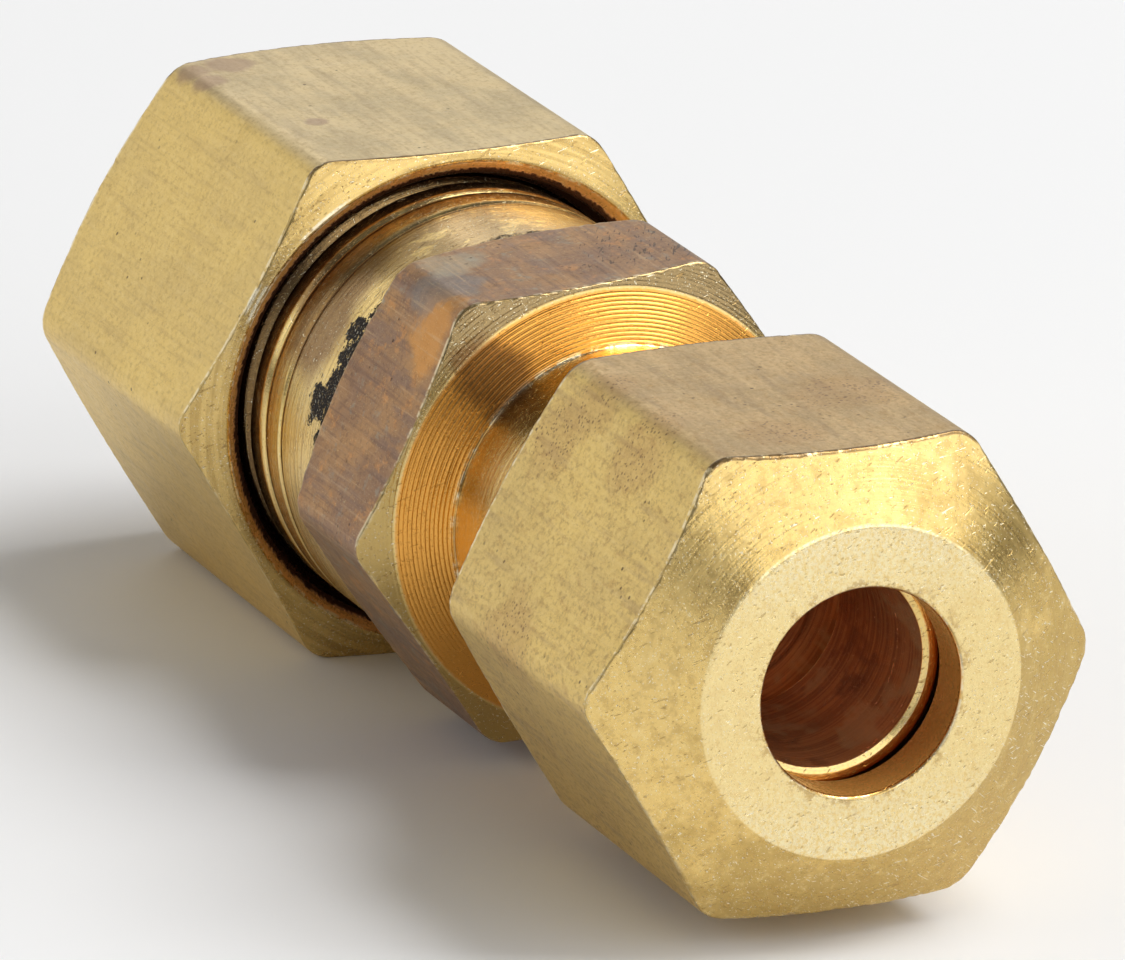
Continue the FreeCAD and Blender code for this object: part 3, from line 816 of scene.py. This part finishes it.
def nut_faces(metal, colour, end):
    """The turned cones are a little tanned, with painted shade darker towards the bottom and the +y
    side; the end face is paler, satin and scratched.
    """
    half = end.flats / 2
    mottle = metal.noise(metal.stretched(3.0, 3.0, 3.0, 43.0), 3.0, 0.7)
    sheen = metal.noise(metal.stretched(9.0, 9.0, 9.0, 47.0), 3.0, 0.7)
    handling_and_shade = metal.noise(metal.stretched(0.55, 0.7, 0.7, 41.0), 4.0, 0.65)
    # Painted shade: the z and y terms darken the cones towards the bottom and the +y side
    handling_and_shade = metal.scaled(metal.z, -0.042, metal.scaled(metal.y, 0.04, handling_and_shade))
    outer = metal.outer(0.15)
    dirty_edge = metal.product(
        metal.ramp(metal.edge, 0.62, 0.85), metal.ramp(metal.z, half - 0.45, half - 0.25),
        metal.ramp(mottle, 0.36, 0.44))
    face = metal.product(outer, metal.ramp(
        metal.math("ABSOLUTE", metal.x), end.nose_x - 0.05, end.nose_x - 0.02))
    rubbed = metal.product(
        metal.ramp(metal.math("ABSOLUTE", metal.z), 1.4, 3.6), metal.ramp(sheen, 0.6, 0.4))
    nibbles = metal.product(
        metal.ramp(metal.radius, end.bore + 0.45, end.bore + 0.05),
        metal.ramp(mottle, 0.52, 0.62))
    cones = metal.layered(
        metal.mix(metal.ramp(handling_and_shade, 0.34, 0.66), (0.84, 0.60, 0.22), (0.56, 0.385, 0.125)),
        (metal.ramp(mottle, 0.48, 0.64), 0.45, (0.46, 0.29, 0.09)),
        (metal.ramp(mottle, 0.44, 0.32), 0.3, CREAM))
    pale = metal.layered(
        CREAM,
        (metal.ramp(mottle, 0.42, 0.70), 0.4, (0.86, 0.62, 0.26)),
        (metal.ramp(sheen, 0.5, 0.66), 0.4, (0.80, 0.56, 0.21)),
        (rubbed, 0.6, (1.0, 0.93, 0.66)),
        (nibbles, 0.6, (0.45, 0.27, 0.09)))
    return metal.layered(
        colour,
        (outer, 0.82, cones),
        (dirty_edge, 0.8, (0.20, 0.11, 0.045)),
        (face, 0.88, pale))


def large_nut_marks(metal, colour):
    """Stains at the back of the top flat, and bright knocks on the mouth's rim painted near white
    as glints.
    """
    mouth = metal.product(metal.outer(0.2), metal.ramp(metal.x, -7.0, -6.8))
    arcs = metal.turning_lines(5.0, 8.0)
    tanned = metal.mix(metal.ramp(arcs, 0.4, 0.6), (0.70, 0.50, 0.19), (0.50, 0.34, 0.12))
    stain = metal.either(
        metal.patch((-15.4, -2.4, 6.35), 0.75), metal.patch((-15.3, -3.5, 6.35), 0.6),
        metal.patch((-14.3, -3.4, 6.35), 0.6), metal.patch((-9.9, -2.3, 6.35), 0.35))
    # Painted glints: knocks on the mouth's rim coloured near white along its edge
    knock_glints = metal.either(
        metal.patch((-6.15, -5.33, 3.08), 0.5, 1.0, 3.0),
        metal.patch((-6.15, -3.53, 5.05), 0.8, 1.0, 3.0))
    knocked_glints = metal.product(metal.ramp(metal.edge, 0.72, 0.92), 0.7, knock_glints)
    colour = metal.layered(
        nut_faces(metal, colour, LARGE),
        (mouth, 0.75, tanned),
        (stain, 0.6, (0.42, 0.26, 0.17)))
    return metal.mix(knocked_glints, colour, (1.0, 0.93, 0.72)), None


def small_nut_marks(metal, colour):
    """Clusters of dark specks on the flats."""
    near = metal.either(
        metal.patch((10.2, -3.4, 5.2), 1.2), metal.patch((9.2, -4.0, 4.3), 1.3),
        metal.patch((11.4, -6.35, 0.1), 1.5), metal.patch((13.0, -3.6, 4.9), 1.4),
        metal.patch((12.6, 1.6, 5.55), 1.6), metal.patch((15.0, -1.0, 5.55), 1.2))
    specks = metal.product(near, metal.either(
        metal.specks(7.5, 0.34, 0.3, 2.0), metal.specks(4.3, 0.24, 0.35, 7.0),
        metal.specks(11.0, 0.4, 0.3, 5.0)))
    colour = metal.layered(
        nut_faces(metal, colour, SMALL),
        (near, 0.3, (0.50, 0.28, 0.10)),
        (specks, 0.65, (0.20, 0.11, 0.05)))
    return colour, None


def body_marks(metal, colour):
    """Black grime at the root of the large stub, painted shade on the thread inside the large nut
    and on the tops of the stub and chamfer, brown tarnish.
    """
    crust = metal.noise(metal.stretched(1.6, 1.1, 1.1, 4.0), 5.0, 0.75)
    crumbs = metal.noise(metal.stretched(7.0, 5.0, 5.0, 9.0), 4.0, 0.75)
    feed = metal.turning_lines(9.0, 3.0)

    # Grime, in a band from the root of the stub that reaches further at its heart
    from_root = metal.math("SUBTRACT", -1.80, metal.x)
    sector = metal.either(
        metal.patch((-2.3, -5.30, 1.3), 2.0, 0.2), metal.patch((-2.3, -4.2, 3.5), 1.7, 0.2))
    heart = metal.either(
        metal.patch((-2.65, -5.2, 1.65), 0.7, 0.8, 1.5),
        metal.patch((-2.5, -4.3, 3.4), 0.4, 0.8, 1.5))
    reach = metal.scaled(crust, 2.0, metal.scaled(crumbs, 1.6, -1.32))
    reach = metal.math("MULTIPLY", metal.scaled(heart, 0.7, reach), sector)
    at_root = metal.product(
        metal.ramp(metal.radius, 5.95, 5.7), metal.ramp(metal.x, -1.66, -1.74))
    grime = metal.product(
        metal.ramp(metal.math("SUBTRACT", reach, from_root), -0.02, 0.06),
        metal.ramp(sector, 0.05, 0.3), at_root)
    burr_reach = metal.math("SUBTRACT", metal.scaled(crumbs, 1.1, -0.36), from_root)
    burr = metal.product(
        metal.ramp(burr_reach, -0.03, 0.05), metal.patch((-2.2, -0.6, 5.5), 2.6, 0.2),
        at_root, 0.9)
    grime = metal.either(grime, burr)

    tarnish = metal.product(
        metal.either(metal.patch((-4.6, -3.9, 3.9), 1.9, 0.25),
                     metal.patch((-4.0, -4.5, 3.0), 1.6, 0.25)),
        metal.turned, metal.ramp(metal.x, -1.7, -1.9))
    stub = metal.product(metal.ramp(metal.x, -1.8, -2.0), metal.ramp(metal.radius, 5.0, 5.2))
    # Painted shade: the large thread coloured near black where it runs into the large nut's mouth
    shade_in_nut = metal.product(metal.ramp(metal.x, -5.95, -6.3), metal.ramp(metal.radius, 4.9, 5.0))
    chamfers = metal.product(
        metal.outer(0.2), metal.ramp(metal.radius, 5.42, 5.5), metal.ramp(metal.x, 1.0, 1.5))
    # Painted shade: the top of the body's front chamfer coloured darker
    shaded_top = metal.product(chamfers, metal.ramp(metal.z, 2.4, 5.0))
    # Painted shade: the top of the large stub's thread coloured darker in ragged patches
    darkened = metal.product(stub, metal.ramp(metal.z, 3.6, 5.2), metal.ramp(crust, 0.36, 0.5))
    colour = metal.layered(
        colour,
        (metal.product(metal.ramp(feed, 0.5, 0.62), stub), 0.45, (0.45, 0.29, 0.11)),
        (metal.product(metal.ramp(feed, 0.42, 0.34), stub), 0.5, CREAM),
        (tarnish, 0.8, (0.21, 0.10, 0.04)),
        (shade_in_nut, 0.85, (0.08, 0.035, 0.02)),
        (chamfers, 0.85, (0.47, 0.33, 0.12)),
        (shaded_top, 0.9, (0.28, 0.20, 0.10)),
        (darkened, 0.75, (0.38, 0.245, 0.10)),
        (metal.patch((3.2, -3.1, 3.7), 1.3, 0.5), 0.7, (0.16, 0.06, 0.02)))
    return metal.mix(grime, colour, (0.015, 0.009, 0.006)), grime


large_brass = brass(
    "large_nut_brass", nut_flats(LARGE.flats / 2, LARGE_TOP, 0.14, 0.14, 0.3),
    flat_rough=0.40, turned_rough=0.28, pits=0.04, extra=large_nut_marks)
small_brass = brass(
    "small_nut_brass", nut_flats(SMALL.flats / 2, SMALL_TOP, 0.6, 0.4, 0.5),
    flat_rough=0.42, turned_rough=0.28, pits=0.12, extra=small_nut_marks)
sleeve_brass = brass("sleeve_brass", None, turned_rough=0.22)
body_brass = brass("body_brass", body_flats, turned_rough=0.22, extra=body_marks)

large_skin = nut(LARGE, large_brass)
small_skin = nut(SMALL, small_brass)
large_ring = sleeve(LARGE, sleeve_brass)
small_ring = sleeve(SMALL, sleeve_brass)
body_skin = union_body(body_brass)

# Floor, light and camera -----------------------------------------------------

FLOOR_HALF = 1.2
FLOOR_COLOUR = (0.86, 0.86, 0.86, 1)
FLOOR_ROUGHNESS = 0.9
WORLD_STRENGTH = 0.15
WHITE = (1, 1, 1, 1)

floor_mesh = bpy.data.meshes.new("floor")
floor_mesh.from_pydata(
    [(x * FLOOR_HALF, y * FLOOR_HALF, 0) for x, y in ((-1, -1), (1, -1), (1, 1), (-1, 1))],
    [], [(0, 1, 2, 3)])
floor = bpy.data.objects.new("floor", floor_mesh)
floor.location.z = CAD_BOX[0].z
bpy.context.scene.collection.objects.link(floor)
floor_material = bpy.data.materials.new("floor_pale")
floor_material.use_nodes = True
floor_shader = floor_material.node_tree.nodes["Principled BSDF"]
floor_shader.inputs["Base Color"].default_value = FLOOR_COLOUR
floor_shader.inputs["Roughness"].default_value = FLOOR_ROUGHNESS
floor_mesh.materials.append(floor_material)

world = bpy.data.worlds.new("studio")
bpy.context.scene.world = world
world.use_nodes = True
world.node_tree.nodes["Background"].inputs["Color"].default_value = WHITE
world.node_tree.nodes["Background"].inputs["Strength"].default_value = WORLD_STRENGTH

CAMERA_AZIMUTH = math.radians(66.80)
CAMERA_ELEVATION = math.radians(17.64)
CAMERA_ROLL = math.radians(0.63)
CAMERA_DISTANCE = 288.2
CAMERA_AIM = Vector((-0.53, -0.71, 0.70))

camera_data = bpy.data.cameras.new("camera")
camera_data.sensor_width = 36
camera_data.lens = 383.65
camera_data.shift_x = 0.0348
camera_data.shift_y = -0.0335
camera_data.clip_start = 0.01
camera_data.clip_end = 10
camera = bpy.data.objects.new("camera", camera_data)
back = Vector((
    math.sin(CAMERA_AZIMUTH) * math.cos(CAMERA_ELEVATION),
    -math.cos(CAMERA_AZIMUTH) * math.cos(CAMERA_ELEVATION),
    math.sin(CAMERA_ELEVATION)))
camera.location = (CAMERA_AIM + back * CAMERA_DISTANCE) * MM
camera.rotation_mode = "QUATERNION"
roll = Matrix.Rotation(CAMERA_ROLL, 3, back)
camera.rotation_quaternion = roll.to_quaternion() @ (-back).to_track_quat("-Z", "Y")
bpy.context.scene.collection.objects.link(camera)
bpy.context.scene.camera = camera
bpy.context.scene.view_settings.view_transform = "Standard"

LIGHT_DISTANCE = 0.7


def softbox(name, direction, width, height, radiance):
    """A soft rectangular light that looks evenly bright, aimed at the fitting."""
    data = bpy.data.lights.new(name, "AREA")
    data.shape = "RECTANGLE"
    data.size = width
    data.size_y = height
    data.energy = radiance * math.pi * width * height
    light = bpy.data.objects.new(name, data)
    light.location = Vector(direction).normalized() * LIGHT_DISTANCE
    light.rotation_mode = "QUATERNION"
    light.rotation_quaternion = (-light.location).to_track_quat("-Z", "Y")
    bpy.context.scene.collection.objects.link(light)


softbox("key", (0.15, 0.50, 0.85), 0.45, 0.45, 6.2)
softbox("front", (0.72, 0.37, 0.47), 1.1, 0.55, 1.45)
softbox("front_left", (0.74, -0.62, 0.14), 0.4, 0.22, 0.75)
softbox("back_left", (-0.85, -0.48, 0.24), 0.5, 0.35, 0.75)
softbox("back", (-0.85, -0.02, 0.52), 0.4, 0.3, 0.65)
softbox("back_right", (-0.83, 0.42, 0.38), 0.4, 0.35, 0.85)
softbox("left_fill", (-0.30, -0.85, 0.45), 0.5, 0.4, 0.85)
